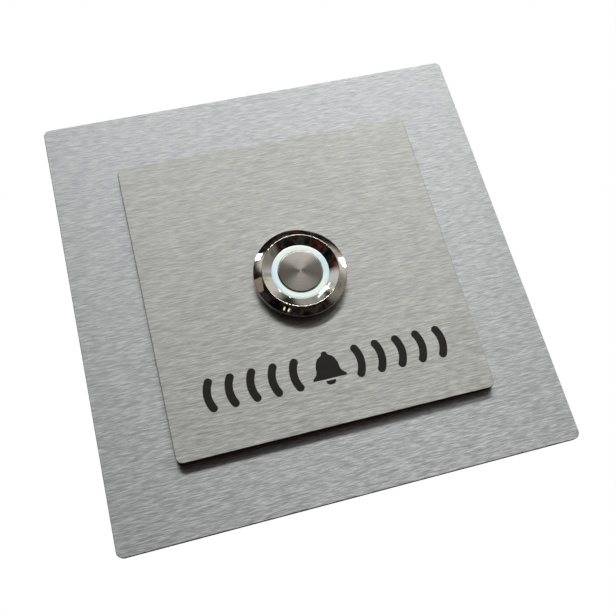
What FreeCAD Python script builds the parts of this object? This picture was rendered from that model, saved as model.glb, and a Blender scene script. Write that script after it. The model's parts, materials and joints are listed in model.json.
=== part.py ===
import FreeCAD, Part
import os
import re

import Sketcher

# Doorbell push button: two stacked square sheets with a ring-lit panel button through both.
# The front faces -Y and +Z is up. The origin is the middle of the wall face, so the wall is
# the plane y = 0 and the rear of the button lies behind it, in the wall's recess.
# Depths run from the front face of the front plate into the wall, and heights out of it.

doc = FreeCAD.newDocument("doorbell_push_button")
sheet = doc.addObject("Spreadsheet::Sheet", "Sizes")

sizes = {
    # plates and wall gasket
    "back_plate_side": 100.0,
    "back_plate_thickness": 1.5,
    "back_plate_corner": 1.5,
    "front_plate_side": 70.0,
    "front_plate_thickness": 1.5,
    "front_plate_corner": 1.5,
    "plate_edge_round": 0.15,
    "panel_hole_clearance": 0.3,
    "gasket_thickness": 1.0,
    "gasket_inset": 2.0,
    "gasket_width": 16.0,
    "gasket_corner": 4.0,
    # turned housing
    "flange_overhang": 1.15,
    "bezel_width": 1.85,
    "rim_height": 1.5,
    "crest_height": 2.7,
    "crest_width": 0.2,
    "crest_round": 0.08,
    "rim_round": 0.12,
    "dish_floor": 0.92,
    "dish_rise": 0.33,
    "dish_round": 1.5,
    "barrel_diameter": 18.7,
    "barrel_lip": 1.0,
    "barrel_wall": 1.55,
    "barrel_end_chamfer": 0.4,
    "seal_land": 0.1,
    "seal_groove_width": 0.4,
    "seal_groove_depth": 0.4,
    "nut_wall": 1.6,
    "nut_thickness": 2.5,
    "nut_chamfer": 0.3,
    "thread_clearance": 0.05,
    # light ring
    "lens_height": 1.65,
    "lens_shoulder": 1.32,
    "halo_width": 1.2,
    "lens_edge_round": 0.12,
    "lens_step_depth": 0.3,
    "lens_body_length": 3.6,
    "lens_skirt_wall": 0.65,
    "lamp_space": 1.1,
    "fit_clearance": 0.03,
    # cap and plunger
    "cap_height": 2.2,
    "cap_bevel_width": 0.6,
    "cap_bevel_drop": 0.22,
    "cap_top": 1.2,
    "cap_wall": 0.85,
    "cap_length": 3.4,
    "cap_clearance": 0.1,
    "press_clearance": 0.02,
    "seal_ring_land": 0.3,
    "seal_ring_section": 0.8,
    "seal_ring_groove_depth": 0.72,
    "stem_diameter": 5.0,
    "stem_clearance": 0.06,
    "travel": 1.5,
    "stake_diameter": 3.4,
    "stake_height": 0.5,
    "peg_diameter": 2.0,
    "peg_length": 1.0,
    # lamp board
    "board_thickness": 1.0,
    "board_hole_clearance": 0.4,
    "lamp_length": 1.6,
    "lamp_width": 0.8,
    "lamp_tall": 0.6,
    "resistor_tall": 0.45,
    # guide sleeve
    "sleeve_roof": 1.5,
    "contact_room_end": 0.25,
    "contact_room_width": 4.4,
    "feed_bore_diameter": 2.0,
    # bell contacts
    "bridge_end": 0.9,
    "bridge_width": 3.0,
    "bridge_thickness": 0.6,
    "contact_spacing": 7.4,
    "contact_diameter": 2.2,
    "contact_head": 0.6,
    "contact_shank": 1.2,
    "contact_gap": 0.02,
    "contact_post_height": 1.68,
    # solder blades
    "blade_thickness": 0.5,
    "bell_blade_width": 2.8,
    "bell_leg_offset": 1.25,
    "bell_tab_length": 2.6,
    "lamp_blade_width": 2.0,
    "lamp_blade_spacing": 10.7,
    "lamp_tab_length": 2.0,
    "blade_length": 5.0,
    "wire_hole_diameter": 1.2,
    "wire_hole_inset": 1.5,
    "blade_tip_bevel": 0.5,
    # switch base and its clip
    "plug_length": 2.0,
    "neck_clearance": 0.08,
    "base_length": 9.0,
    "spring_post_height": 1.2,
    "clip_thickness": 0.5,
    "clip_width": 0.8,
    "clip_groove_depth": 0.45,
    "clip_groove_slack": 0.1,
    # springs
    "spring_wire": 0.35,
    "spring_clearance": 0.225,
    "spring_turns": 5.0,
    "feed_wire": 0.25,
    "feed_diameter": 1.6,
    "feed_turns": 7.0,
}
for row, (alias, number) in enumerate(sizes.items(), start=1):
    sheet.set(f"A{row}", alias.replace("_", " "))
    sheet.set(f"B{row}", str(number))
    sheet.setAlias(f"B{row}", alias)
doc.recompute()

# Stations and radii that several pieces share, as formulas on the sheet's sizes.
stack = "(gasket_thickness + back_plate_thickness + front_plate_thickness)"
panel_rear = "(back_plate_thickness + front_plate_thickness)"
panel_hole = "(barrel_diameter / 2 + panel_hole_clearance)"
bore = "(barrel_diameter / 2 - barrel_wall)"
insert = f"({bore} - fit_clearance)"
flange = "(barrel_diameter / 2 + flange_overhang)"
crest = f"({flange} - bezel_width)"
groove_inner = f"({panel_hole} + seal_land)"
groove_outer = f"({groove_inner} + seal_groove_width)"
lens_end = "(lens_step_depth + lens_body_length)"
lens_front = f"({insert} - lens_shoulder)"
lens_bore = f"({lens_front} - halo_width)"
cap_side = f"({lens_bore} - cap_clearance)"
lamp_ring = f"(({lens_front} + {lens_bore}) / 2)"
board_front = f"({lens_end} + lamp_space)"
board_rear = f"({board_front} + board_thickness)"
roof_end = f"({board_rear} + sleeve_roof)"
cap_end = "(cap_length - cap_height)"
cap_bore = f"({cap_side} - cap_wall)"
ring_front = f"({cap_end} + seal_ring_land)"
ring_rear = f"({ring_front} + seal_ring_section)"
nose_end = f"({ring_rear} + seal_ring_land)"
bridge_rear = f"({roof_end} + bridge_thickness)"
stake_rear = f"({bridge_rear} + stake_height)"
moving_face = f"({bridge_rear} + contact_head)"
fixed_face = f"({moving_face} + travel + contact_gap)"
tab_front = f"({fixed_face} + contact_head)"
tab_rear = f"({tab_front} + blade_thickness)"
base_front = f"({tab_rear} + contact_post_height)"
plug_end = f"({base_front} + plug_length)"
base_end = f"({base_front} + base_length)"
blade_end = f"({base_end} + blade_length)"
clip_end = f"({plug_end} + clip_thickness + clip_groove_slack)"
barrel_end = f"({clip_end} + barrel_lip)"
clip_outer = f"({bore} + clip_groove_depth - clip_groove_slack)"
clip_inner = f"({clip_outer} - clip_width)"
contact_ring = "(contact_spacing / 2)"
bell_leg = f"({contact_ring} + bell_leg_offset)"
lamp_leg = "(lamp_blade_spacing / 2)"
lamp_tab = f"({lamp_leg} + blade_thickness / 2 - lamp_tab_length)"
feed_ring = f"({lamp_tab} + lamp_tab_length / 2)"
spring_diameter = "(peg_diameter + 2 * spring_wire + 2 * spring_clearance)"

round_plane = "XY_Plane"
front_plane = "XZ_Plane"
side_plane = "YZ_Plane"


def on_sheet(formula):
    # Each alias in a formula is read from the sheet.
    return re.sub(r"[a-z][a-z_]*", lambda word: "Sizes." + word.group()
                  if word.group() in sizes else word.group(), formula)


def bind(thing, path, formula):
    thing.setExpression(path, on_sheet(formula))


def make_body(label):
    body = doc.addObject("PartDesign::Body", label)
    body.Label = label
    return body


def make_sketch(body, plane, depth="0", name="sketch"):
    # On the front plane the sketch lies at the given depth and faces out of the wall.
    # On the round and side planes its own zero is the front face of the front plate.
    sketch = body.newObject("Sketcher::SketchObject", f"{body.Label}_{name}")
    origin_plane = next(o for o in body.Origin.OriginFeatures if o.Role == plane)
    sketch.AttachmentSupport = [(origin_plane, "")]
    sketch.MapMode = "FlatFace"
    if plane == front_plane:
        bind(sketch, "AttachmentOffset.Base.z", f"{stack} - {depth}")
    elif plane == round_plane:
        bind(sketch, "AttachmentOffset.Base.y", f"0 - {stack}")
    else:
        bind(sketch, "AttachmentOffset.Base.x", f"0 - {stack}")
    return sketch


def place_point(sketch, curve, end, across, along):
    # Two dimensions from the sketch's zero pull a point to its place.
    here = sketch.getPoint(curve, end)
    for kind, formula, start in (("DistanceX", across, here.x), ("DistanceY", along, here.y)):
        if formula is None:
            continue
        index = sketch.addConstraint(Sketcher.Constraint(kind, -1, 1, curve, end, start))
        bind(sketch, f"Constraints[{index}]", formula)


def draw_outline(sketch, corners):
    # A rough polygon whose dimensions, or level and upright sides, fix every corner.
    count = len(corners)
    first = sketch.GeometryCount
    rough = [FreeCAD.Vector(6, 0, 0)]
    turn = FreeCAD.Rotation(FreeCAD.Vector(0, 0, 1), 360.0 / count)
    while len(rough) < count:
        rough.append(turn.multVec(rough[-1]))
    for start, end in zip(rough, rough[1:] + rough[:1]):
        sketch.addGeometry(Part.LineSegment(start, end), False)
    for index in range(count):
        following = first + (index + 1) % count
        sketch.addConstraint(Sketcher.Constraint("Coincident", first + index, 2, following, 1))
    before = (None, None)
    for index, (across, along) in enumerate(corners):
        side = first + index - 1
        if across == before[0]:
            sketch.addConstraint(Sketcher.Constraint("Vertical", side))
        if along == before[1]:
            sketch.addConstraint(Sketcher.Constraint("Horizontal", side))
        place_point(sketch, first + index, 1,
                    None if across == before[0] else across,
                    None if along == before[1] else along)
        before = (across, along)


def draw_box(sketch, left, right, low, high):
    draw_outline(sketch, [(left, low), (right, low), (right, high), (left, high)])


def draw_circle(sketch, across, along, radius):
    centre = FreeCAD.Vector(3, 2, 0)
    curve = sketch.addGeometry(Part.Circle(centre, FreeCAD.Vector(0, 0, 1), 1.5), False)
    place_point(sketch, curve, 3, across, along)
    index = sketch.addConstraint(Sketcher.Constraint("Radius", curve, 1.5))
    bind(sketch, f"Constraints[{index}]", radius)


def pad(body, sketch, length, name="pad", both_ways=False):
    feature = body.newObject("PartDesign::Pad", f"{body.Label}_{name}")
    feature.Profile = sketch
    feature.Type = "Length"
    feature.Midplane = both_ways
    bind(feature, "Length", length)
    return feature


def pocket(body, sketch, length=None, name="pocket", reversed_cut=False):
    feature = body.newObject("PartDesign::Pocket", f"{body.Label}_{name}")
    feature.Profile = sketch
    feature.Reversed = reversed_cut
    if length is None:
        feature.Type = "ThroughAll"
    else:
        feature.Type = "Length"
        bind(feature, "Length", length)
    return feature


def turn_profile(body, corners, name="turning", cut=False, degrees=360.0):
    # A half section on the round plane, turned about the button's axis.
    sketch = make_sketch(body, round_plane, name=f"{name}_section")
    draw_outline(sketch, corners)
    kind = "PartDesign::Groove" if cut else "PartDesign::Revolution"
    feature = body.newObject(kind, f"{body.Label}_{name}")
    feature.Profile = sketch
    feature.ReferenceAxis = (sketch, ["V_Axis"])
    feature.Angle = degrees
    return feature


def dress(body, kind, amount, chosen):
    # A round or a bevel along the edges of the last feature that the test picks.
    doc.recompute()
    base = body.Tip
    names = [f"Edge{i}" for i, edge in enumerate(base.Shape.Edges, start=1) if chosen(edge)]
    feature = body.newObject(f"PartDesign::{kind}", f"{body.Label}_{kind.lower()}_{amount}")
    feature.Base = (base, names)
    bind(feature, "Radius" if kind == "Fillet" else "Size", amount)
    return feature


def near(one, other):
    return abs(one - other) < 1e-4


def rings_at(height):
    # Picks the circles about the button's axis at a height over the panel.
    level = -(sheet.gasket_thickness + sheet.back_plate_thickness
              + sheet.front_plate_thickness + height)
    return lambda edge: (isinstance(edge.Curve, Part.Circle)
                         and near(edge.Curve.Center.y, level))


def make_plate(label, side, thickness, corner, depth):
    # Laser-cut sheet with rounded corners, a soft front edge and the button's hole.
    body = make_body(label)
    sketch = make_sketch(body, front_plane, f"({depth} + {thickness})", name="outline")
    half = f"({side} / 2)"
    draw_box(sketch, f"0 - {half}", half, f"0 - {half}", half)
    draw_circle(sketch, "0", "0", panel_hole)
    pad(body, sketch, thickness)
    reach = getattr(sheet, side) / 2
    dress(body, "Fillet", corner, lambda edge: near(abs(edge.CenterOfMass.x), reach)
          and near(abs(edge.CenterOfMass.z), reach))
    hole = sheet.barrel_diameter
    doc.recompute()
    front = body.Tip.Shape.BoundBox.YMin
    dress(body, "Fillet", "plate_edge_round", lambda edge: near(edge.BoundBox.YMax, front)
          and edge.CenterOfMass.Length > hole)
    return body


def make_wall_gasket():
    # Die-cut adhesive foam frame round the recess that takes the nut and the switch base.
    body = make_body("wall_gasket")
    sketch = make_sketch(body, front_plane, stack, name="outline")
    outer = "(back_plate_side / 2 - gasket_inset)"
    inner = f"({outer} - gasket_width)"
    for half in (outer, inner):
        draw_box(sketch, f"0 - {half}", half, f"0 - {half}", half)
    pad(body, sketch, "gasket_thickness")
    dress(body, "Fillet", "gasket_corner", lambda edge: near(edge.BoundBox.XLength, 0)
          and near(edge.BoundBox.ZLength, 0))
    return body


def make_button_housing():
    # Turned body: chamfered flange, hollow dish inside the crest, seal groove, stepped bore and
    # clip groove.
    body = make_body("button_housing")
    dish_end = f"({lens_front} + fit_clearance)"
    barrel = "(barrel_diameter / 2)"
    clip_wall = f"({bore} + clip_groove_depth)"
    turn_profile(body, [
        (barrel, "0"),
        (groove_inner, "0"),
        (groove_inner, "0 - seal_groove_depth"),
        (groove_outer, "0 - seal_groove_depth"),
        (groove_outer, "0"),
        (flange, "0"),
        (flange, "0 - rim_height"),
        (crest, "0 - crest_height"),
        (f"{crest} - crest_width", "0 - crest_height"),
        (f"{dish_end} + dish_floor", "0 - lens_height - dish_rise"),
        (dish_end, "0 - lens_height"),
        (dish_end, "lens_step_depth"),
        (bore, "lens_step_depth"),
        (bore, plug_end),
        (clip_wall, plug_end),
        (clip_wall, clip_end),
        (bore, clip_end),
        (bore, barrel_end),
        (f"{barrel} - barrel_end_chamfer", barrel_end),
        (barrel, f"{barrel_end} - barrel_end_chamfer"),
    ])
    dress(body, "Fillet", "crest_round", rings_at(sheet.crest_height))
    dress(body, "Fillet", "rim_round", rings_at(sheet.rim_height))
    dress(body, "Fillet", "dish_round", rings_at(sheet.lens_height + sheet.dish_rise))
    return body


def make_flange_seal():
    # Flat rubber ring that fills the groove and meets the front plate.
    body = make_body("flange_seal")
    near_side = f"({groove_inner} + fit_clearance)"
    far_side = f"({groove_outer} - fit_clearance)"
    turn_profile(body, [
        (near_side, "0"),
        (far_side, "0"),
        (far_side, "0 - seal_groove_depth"),
        (near_side, "0 - seal_groove_depth"),
    ])
    return body


def make_mounting_nut():
    # Hexagon nut on the barrel, against the rear of the back plate, with both rims bevelled.
    body = make_body("mounting_nut")
    nut_rear = f"({panel_rear} + nut_thickness)"
    thread = "(barrel_diameter / 2 + thread_clearance)"
    flat = f"({thread} + nut_wall)"
    half_side = f"({flat} * tan(30))"
    tip = f"({flat} / cos(30))"
    sketch = make_sketch(body, front_plane, nut_rear, name="outline")
    draw_outline(sketch, [
        (flat, f"0 - {half_side}"),
        (flat, half_side),
        ("0", tip),
        (f"0 - {flat}", half_side),
        (f"0 - {flat}", f"0 - {half_side}"),
        ("0", f"0 - {tip}"),
    ])
    draw_circle(sketch, "0", "0", thread)
    pad(body, sketch, "nut_thickness")
    start = f"({flat} - nut_chamfer)"
    rise = f"(({tip} - {start}) * tan(30))"
    bevels = (("rear_bevel", nut_rear, "-"), ("front_bevel", panel_rear, "+"))
    for name, face, towards in bevels:
        turn_profile(body, [
            (start, face),
            (f"{tip} + nut_chamfer", face),
            (f"{tip} + nut_chamfer", f"{face} {towards} ({rise} + nut_chamfer * tan(30))"),
        ], name=name, cut=True)
    return body


def make_halo_lens():
    # Milky ring with a shoulder behind the housing's step and a skirt that stands on the board.
    body = make_body("halo_lens")
    skirt = f"({insert} - lens_skirt_wall)"
    turn_profile(body, [
        (lens_bore, "0 - lens_height"),
        (lens_front, "0 - lens_height"),
        (lens_front, "lens_step_depth"),
        (insert, "lens_step_depth"),
        (insert, board_front),
        (skirt, board_front),
        (skirt, lens_end),
        (lens_bore, lens_end),
    ])
    dress(body, "Fillet", "lens_edge_round", rings_at(sheet.lens_height))
    return body


def make_actuator():
    # Metal cap with a wide shallow bevel, hollow from behind for the plunger's nose.
    body = make_body("actuator")
    turn_profile(body, [
        ("0", "0 - cap_height"),
        (f"{cap_side} - cap_bevel_width", "0 - cap_height"),
        (cap_side, "cap_bevel_drop - cap_height"),
        (cap_side, cap_end),
        (cap_bore, cap_end),
        (cap_bore, "cap_top - cap_height"),
        ("0", "cap_top - cap_height"),
    ])
    return body


def make_plunger():
    # Nose in the cap, seal groove, stem, peg through the bridge, staked head and spring peg.
    body = make_body("plunger")
    nose = f"({cap_bore} - press_clearance)"
    groove = f"({cap_side} - seal_ring_groove_depth)"
    stem = "(stem_diameter / 2)"
    peg = "(peg_diameter / 2)"
    stake = "(stake_diameter / 2)"
    turn_profile(body, [
        ("0", "cap_top - cap_height"),
        (nose, "cap_top - cap_height"),
        (nose, cap_end),
        (cap_side, cap_end),
        (cap_side, ring_front),
        (groove, ring_front),
        (groove, ring_rear),
        (cap_side, ring_rear),
        (cap_side, nose_end),
        (stem, nose_end),
        (stem, roof_end),
        (peg, roof_end),
        (peg, bridge_rear),
        (stake, bridge_rear),
        (stake, stake_rear),
        (peg, stake_rear),
        (peg, f"{stake_rear} + peg_length"),
        ("0", f"{stake_rear} + peg_length"),
    ])
    return body


def make_plunger_seal():
    # O-ring squeezed to an octagon between the groove's floor and the lens bore.
    body = make_body("plunger_seal")
    floor = f"({cap_side} - seal_ring_groove_depth)"
    crown = f"({lens_bore} - cap_clearance / 2)"
    corner = "(seal_ring_section / 4)"
    turn_profile(body, [
        (floor, f"{ring_front} + {corner}"),
        (f"{floor} + {corner}", ring_front),
        (f"{crown} - {corner}", ring_front),
        (crown, f"{ring_front} + {corner}"),
        (crown, f"{ring_rear} - {corner}"),
        (f"{crown} - {corner}", ring_rear),
        (f"{floor} + {corner}", ring_rear),
        (floor, f"{ring_rear} - {corner}"),
    ])
    return body


def make_led_board():
    # Ring-shaped board between the lens skirt and the guide sleeve.
    body = make_body("led_board")
    hole = "(stem_diameter / 2 + board_hole_clearance)"
    turn_profile(body, [
        (hole, board_front),
        (insert, board_front),
        (insert, board_rear),
        (hole, board_rear),
    ])
    return body


def make_board_chip(label, tall, degrees):
    # Small block soldered to the front of the board, behind the middle of the light ring.
    body = make_body(label)
    sketch = make_sketch(body, front_plane, board_front, name="outline")
    draw_box(sketch, f"{lamp_ring} - lamp_width / 2", f"{lamp_ring} + lamp_width / 2",
             "0 - lamp_length / 2", "lamp_length / 2")
    pad(body, sketch, tall)
    body.Placement = FreeCAD.Placement(FreeCAD.Vector(), FreeCAD.Vector(0, 1, 0), degrees)
    return body


def make_guide_sleeve():
    # Insert with a bore for the stem in its roof, a room for the contacts and two feed bores.
    body = make_body("guide_sleeve")
    guide = "(stem_diameter / 2 + stem_clearance)"
    turn_profile(body, [
        (guide, board_rear),
        (insert, board_rear),
        (insert, base_front),
        (guide, base_front),
    ])
    room = make_sketch(body, front_plane, roof_end, name="room")
    long_half = f"({bell_leg} + blade_thickness / 2 + contact_room_end)"
    wide_half = "(contact_room_width / 2)"
    draw_box(room, f"0 - {long_half}", long_half, f"0 - {wide_half}", wide_half)
    pocket(body, room, name="contact_room")
    feeds = make_sketch(body, front_plane, board_rear, name="feeds")
    for sign in ("", "0 - "):
        draw_circle(feeds, "0", f"{sign}{feed_ring}", "feed_bore_diameter / 2")
    pocket(body, feeds, name="feed_bores")
    return body


def make_contact_bridge():
    # Moving contact bar, with holes for the plunger's peg and the two rivets.
    body = make_body("contact_bridge")
    sketch = make_sketch(body, front_plane, bridge_rear, name="outline")
    half = f"({contact_ring} + bridge_end)"
    draw_box(sketch, f"0 - {half}", half, "0 - bridge_width / 2", "bridge_width / 2")
    draw_circle(sketch, "0", "0", "(peg_diameter / 2 + press_clearance)")
    for sign in ("", "0 - "):
        draw_circle(sketch, f"{sign}{contact_ring}", "0",
                    "(contact_shank / 2 + press_clearance)")
    pad(body, sketch, "bridge_thickness")
    return body


def make_contact(label, side, face, seat, shank_end):
    # Silver rivet: a flat-topped head on its seat and a shank through the sheet behind it.
    body = make_body(label)
    head = "(contact_diameter / 2)"
    turn_profile(body, [
        ("0", face),
        (f"{head} - contact_head / 4", face),
        (head, f"({face} + {seat}) / 2"),
        (head, seat),
        ("contact_shank / 2", seat),
        ("contact_shank / 2", shank_end),
        ("0", shank_end),
    ])
    bind(body, "Placement.Base.x", f"{side} * {contact_ring}")
    return body


def bevel_blade_end(body):
    # Both corners of a blade's free end, so that it enters a socket or a wire loop easily.
    doc.recompute()
    end = body.Tip.Shape.BoundBox.YMax
    dress(body, "Chamfer", "blade_tip_bevel", lambda edge: near(edge.BoundBox.YMin, end)
          and near(edge.BoundBox.ZLength, 0))


def make_bell_terminal(label, degrees):
    # Bent blade: a tab under the fixed contact and a leg through the base to the wire hole.
    body = make_body(label)
    leg_outer = f"({bell_leg} + blade_thickness / 2)"
    leg_inner = f"({bell_leg} - blade_thickness / 2)"
    bend = make_sketch(body, round_plane, name="bend")
    draw_outline(bend, [
        (f"{leg_outer} - bell_tab_length", tab_front),
        (leg_outer, tab_front),
        (leg_outer, blade_end),
        (leg_inner, blade_end),
        (leg_inner, tab_rear),
        (f"{leg_outer} - bell_tab_length", tab_rear),
    ])
    pad(body, bend, "bell_blade_width", both_ways=True)
    rivet = make_sketch(body, front_plane, tab_front, name="rivet")
    draw_circle(rivet, contact_ring, "0", "(contact_shank / 2 + press_clearance)")
    pocket(body, rivet, name="rivet_hole")
    wire = make_sketch(body, side_plane, name="wire")
    draw_circle(wire, f"{blade_end} - wire_hole_inset", "0", "wire_hole_diameter / 2")
    pocket(body, wire, name="wire_hole", reversed_cut=True)
    bevel_blade_end(body)
    body.Placement = FreeCAD.Placement(FreeCAD.Vector(), FreeCAD.Vector(0, 1, 0), degrees)
    return body


def make_lamp_terminal(label, degrees):
    # Bent blade whose tab lies in the base under the feed spring.
    body = make_body(label)
    leg_outer = f"({lamp_leg} + blade_thickness / 2)"
    leg_inner = f"({lamp_leg} - blade_thickness / 2)"
    tab_back = f"({base_front} + blade_thickness)"
    bend = make_sketch(body, round_plane, name="bend")
    draw_outline(bend, [
        (lamp_tab, base_front),
        (leg_outer, base_front),
        (leg_outer, blade_end),
        (leg_inner, blade_end),
        (leg_inner, tab_back),
        (lamp_tab, tab_back),
    ])
    pad(body, bend, "lamp_blade_width", both_ways=True)
    wire = make_sketch(body, side_plane, name="wire")
    draw_circle(wire, f"{blade_end} - wire_hole_inset", "0", "wire_hole_diameter / 2")
    pocket(body, wire, name="wire_hole", reversed_cut=True)
    bevel_blade_end(body)
    body.Placement = FreeCAD.Placement(FreeCAD.Vector(), FreeCAD.Vector(0, 1, 0), degrees)
    return body


def make_switch_base():
    # Rear plug: spring post, posts under the bell tabs, slots for the four blades.
    body = make_body("switch_base")
    neck = f"({clip_inner} - neck_clearance)"
    post = "(peg_diameter / 2)"
    turn_profile(body, [
        ("0", f"{base_front} - spring_post_height"),
        (post, f"{base_front} - spring_post_height"),
        (post, base_front),
        (insert, base_front),
        (insert, plug_end),
        (neck, plug_end),
        (neck, base_end),
        ("0", base_end),
    ])
    half_width = "(bell_blade_width / 2 + fit_clearance)"
    slot_inner = f"({bell_leg} - blade_thickness / 2 - fit_clearance)"
    slot_outer = f"({bell_leg} + blade_thickness / 2 + fit_clearance)"
    tab_start = f"({bell_leg} + blade_thickness / 2 - bell_tab_length)"
    posts = make_sketch(body, front_plane, base_front, name="posts")
    slots = make_sketch(body, front_plane, base_front, name="bell_slots")
    for sign in ("", "0 - "):
        draw_box(posts, f"{sign}{tab_start}", f"{sign}{slot_inner}",
                 "0 - bell_blade_width / 2", "bell_blade_width / 2")
        draw_box(slots, f"{sign}{slot_inner}", f"{sign}{slot_outer}",
                 f"0 - {half_width}", half_width)
    pad(body, posts, f"{base_front} - {tab_rear}", name="contact_posts")
    pocket(body, slots, name="bell_slots")
    lamp_half = "(lamp_blade_width / 2 + fit_clearance)"
    lamp_inner = f"({lamp_leg} - blade_thickness / 2 - fit_clearance)"
    lamp_outer = f"({lamp_leg} + blade_thickness / 2 + fit_clearance)"
    recess_inner = f"({lamp_tab} - fit_clearance)"
    recesses = make_sketch(body, front_plane, base_front, name="lamp_recesses")
    legs = make_sketch(body, front_plane, base_front, name="lamp_slots")
    for sign in ("", "0 - "):
        draw_box(recesses, f"0 - {lamp_half}", lamp_half,
                 f"{sign}{recess_inner}", f"{sign}{lamp_outer}")
        draw_box(legs, f"0 - {lamp_half}", lamp_half,
                 f"{sign}{lamp_inner}", f"{sign}{lamp_outer}")
    pocket(body, recesses, "blade_thickness", name="lamp_recesses")
    pocket(body, legs, name="lamp_slots")
    return body


def make_base_clip():
    # Open wire ring in the barrel's groove, behind the plug of the switch base.
    body = make_body("base_clip")
    clip_rear = f"({plug_end} + clip_thickness)"
    opening = 60.0
    turn_profile(body, [
        (clip_inner, plug_end),
        (clip_outer, plug_end),
        (clip_outer, clip_rear),
        (clip_inner, clip_rear),
    ], degrees=360.0 - opening)
    return body


def make_spring(label, front, rear, diameter, wire, turns):
    # Round wire wound between two seats.
    body = make_body(label)
    sketch = make_sketch(body, round_plane, name="wire")
    draw_circle(sketch, f"({diameter} - {wire}) / 2", f"{front} + {wire} / 2", f"{wire} / 2")
    coil = body.newObject("PartDesign::AdditiveHelix", f"{label}_coil")
    coil.Profile = sketch
    coil.ReferenceAxis = (sketch, ["V_Axis"])
    coil.Mode = "height-turns-angle"
    bind(coil, "Height", f"{rear} - {front} - {wire}")
    bind(coil, "Turns", turns)
    return body


parts = [
    make_plate("back_plate", "back_plate_side", "back_plate_thickness", "back_plate_corner",
               "front_plate_thickness"),
    make_plate("front_plate", "front_plate_side", "front_plate_thickness",
               "front_plate_corner", "0"),
    make_wall_gasket(),
    make_button_housing(),
    make_flange_seal(),
    make_mounting_nut(),
    make_halo_lens(),
    make_actuator(),
    make_plunger(),
    make_plunger_seal(),
    make_led_board(),
    make_board_chip("led_resistor", "resistor_tall", 0.0),
    make_guide_sleeve(),
    make_contact_bridge(),
    make_contact("bridge_contact_left", "-1", moving_face, bridge_rear, roof_end),
    make_contact("bridge_contact_right", "1", moving_face, bridge_rear, roof_end),
    make_contact("fixed_contact_left", "-1", fixed_face, tab_front, tab_rear),
    make_contact("fixed_contact_right", "1", fixed_face, tab_front, tab_rear),
    make_bell_terminal("bell_terminal_right", 0.0),
    make_bell_terminal("bell_terminal_left", 180.0),
    make_lamp_terminal("lamp_terminal_bottom", 90.0),
    make_lamp_terminal("lamp_terminal_top", -90.0),
    make_switch_base(),
    make_base_clip(),
    make_spring("return_spring", stake_rear, base_front, spring_diameter, "spring_wire",
                "spring_turns"),
]
lamp_count = 4
for number in range(lamp_count):
    angle = 360.0 / lamp_count * (number + 0.5)
    parts.append(make_board_chip(f"led_{number + 1}", "lamp_tall", angle))
for label, sign in (("lamp_spring_top", ""), ("lamp_spring_bottom", "0 - ")):
    spring = make_spring(label, board_rear, base_front, "feed_diameter", "feed_wire",
                         "feed_turns")
    bind(spring, "Placement.Base.z", f"{sign}{feed_ring}")
    parts.append(spring)

doc.recompute()

failed = [o.Label for o in doc.Objects if "Invalid" in o.State or "Error" in o.State]
failed += [p.Label for p in parts if p.Shape.isNull() or not p.Shape.isValid()]
if failed:
    raise RuntimeError("these did not build: " + ", ".join(failed))

os.makedirs("parts", exist_ok=True)
for part in parts:
    part.Shape.exportStep(f"parts/{part.Label}.step")
    box = part.Shape.BoundBox
    print(f"{part.Label}: {len(part.Shape.Solids)} solid, {part.Shape.Volume:.2f} mm3, "
          f"y {box.YMin:.2f} to {box.YMax:.2f}")
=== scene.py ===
import json
import math

import bmesh
import bpy
from mathutils import Matrix, Quaternion, Vector


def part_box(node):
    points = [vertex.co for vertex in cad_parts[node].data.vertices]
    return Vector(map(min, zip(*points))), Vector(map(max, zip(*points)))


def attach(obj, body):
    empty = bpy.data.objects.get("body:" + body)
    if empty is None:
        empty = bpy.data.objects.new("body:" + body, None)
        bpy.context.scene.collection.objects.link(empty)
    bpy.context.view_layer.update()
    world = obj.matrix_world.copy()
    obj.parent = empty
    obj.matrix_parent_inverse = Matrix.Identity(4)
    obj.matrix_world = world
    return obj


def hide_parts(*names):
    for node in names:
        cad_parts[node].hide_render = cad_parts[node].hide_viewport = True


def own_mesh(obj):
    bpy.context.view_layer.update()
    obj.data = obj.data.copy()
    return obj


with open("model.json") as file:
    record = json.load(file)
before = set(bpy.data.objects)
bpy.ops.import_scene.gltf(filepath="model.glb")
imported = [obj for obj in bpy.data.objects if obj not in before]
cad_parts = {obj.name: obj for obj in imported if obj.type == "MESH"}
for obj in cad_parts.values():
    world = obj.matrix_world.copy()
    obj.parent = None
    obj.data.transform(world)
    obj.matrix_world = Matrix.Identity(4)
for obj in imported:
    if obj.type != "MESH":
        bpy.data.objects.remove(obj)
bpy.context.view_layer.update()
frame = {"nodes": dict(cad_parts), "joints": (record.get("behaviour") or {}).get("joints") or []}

# Doorbell push: two brushed sheets with a ring-lit metal button. Lengths in the dictionaries
# are millimetres, and heights are measured out of the front sheet, as a fitter would.

mm = 0.001
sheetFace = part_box("front_plate")[0].y / mm      # front of the small sheet
print("frame loaded")


def hexColour(code):
    # sRGB hex to linear, with alpha
    parts = [int(code[i:i + 2], 16) / 255 for i in (1, 3, 5)]
    return [c / 12.92 if c <= 0.04045 else ((c + 0.055) / 1.055) ** 2.4 for c in parts] + [1.0]


def addNode(tree, kind, inputs=None, stops=(), **settings):
    # one node with its settings, colour stops, plain values and links
    node = tree.nodes.new(kind)
    for key, value in settings.items():
        setattr(node, key, value)
    for number, (place, code) in enumerate(stops):
        band = node.color_ramp.elements
        stop = band[number] if number < len(band) else band.new(place)
        stop.position, stop.color = place, hexColour(code)
    for socket, value in (inputs or {}).items():
        if isinstance(value, bpy.types.NodeSocket):
            tree.links.new(value, node.inputs[socket])
        else:
            node.inputs[socket].default_value = value
    return node


def newFinish(name):
    finish = bpy.data.materials.new(name)
    finish.use_nodes = True
    finish.node_tree.nodes.clear()
    return finish, finish.node_tree


def closeFinish(tree, surface):
    addNode(tree, "ShaderNodeOutputMaterial", {"Surface": surface.outputs[0]})


# The finishes, each named for what the piece is really made of.

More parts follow.
